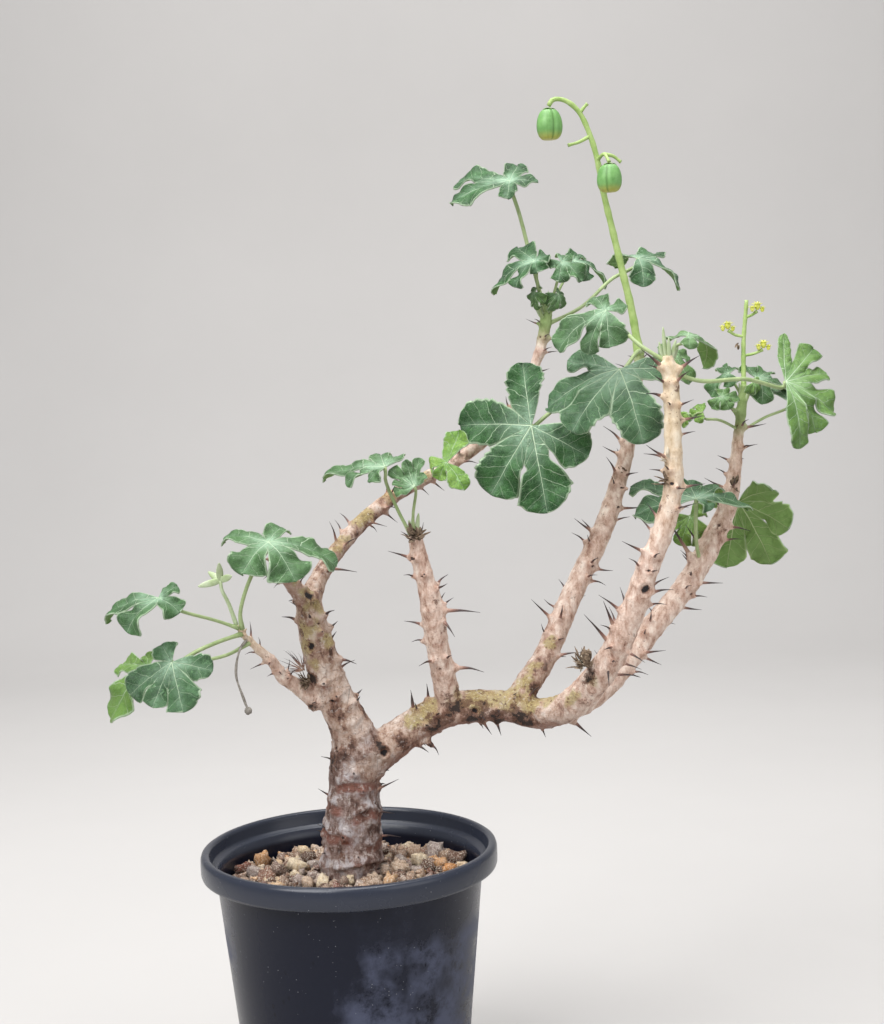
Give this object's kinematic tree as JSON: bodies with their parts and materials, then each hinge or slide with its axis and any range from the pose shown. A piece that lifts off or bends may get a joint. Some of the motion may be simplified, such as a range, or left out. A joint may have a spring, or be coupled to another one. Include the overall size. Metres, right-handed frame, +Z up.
{
  "type": "potted jatropha fissispina",
  "caption": "Spiny thick-stemmed shrub with lobed blue-green leaves and seed capsules, growing in gravel in a round black plastic nursery pot.",
  "frame": {"origin": "centre of the pot's flat base", "axes": "+Z up along the pot's axis, -Y towards the front of the plant, +X towards its long right limb"},
  "size_m": [0.3631, 0.1804, 0.5143],
  "materials": {
    "pot": "black moulded plastic, semi-gloss, with pale water stain and dust",
    "substrate": "loose pumice and baked clay grains in tan, brown, grey and cream",
    "bark": "pale waxy bark with red-brown bands, dark scars and dark-tipped spines",
    "leaf": "matt blue-green with a waxy bloom and pale veins",
    "young_leaf": "soft pale green",
    "green_stalk": "smooth light green",
    "capsule": "smooth light green, yellower at the end",
    "flower": "soft yellow-green petals",
    "dead_stalk": "dry grey-brown"
  },
  "bodies": {
    "root": {"dry_stalk": "dead_stalk", "flower_1": "flower", "flower_2": "flower", "flower_3": "flower", "flower_stalk": "green_stalk", "fruit_stalk": "green_stalk", "leaf_back_1": "leaf", "leaf_back_2": "leaf", "leaf_back_3": "leaf", "leaf_back_4": "leaf", "leaf_back_5": "leaf", "leaf_back_6": "leaf", "leaf_front_1": "leaf", "leaf_front_2": "leaf", "leaf_front_3": "leaf", "leaf_front_4": "leaf", "leaf_fruiting_1": "leaf", "leaf_fruiting_2": "leaf", "leaf_left_1": "leaf", "leaf_left_2": "leaf", "leaf_left_3": "leaf", "leaf_left_4": "leaf", "leaf_middle_1": "leaf", "leaf_middle_2": "leaf", "leaf_rear_1": "leaf", "leaf_rear_2": "leaf", "leaf_rear_3": "leaf", "leaf_rear_4": "leaf", "leaf_rear_5": "leaf", "leaf_rear_6": "leaf", "leaf_rear_7": "leaf", "leaf_rear_8": "leaf", "pot": "pot", "seed_capsule_1": "capsule", "seed_capsule_2": "capsule", "shoot_left": "young_leaf", "stem": "bark", "substrate": "substrate"}
  },
  "joints": []
}
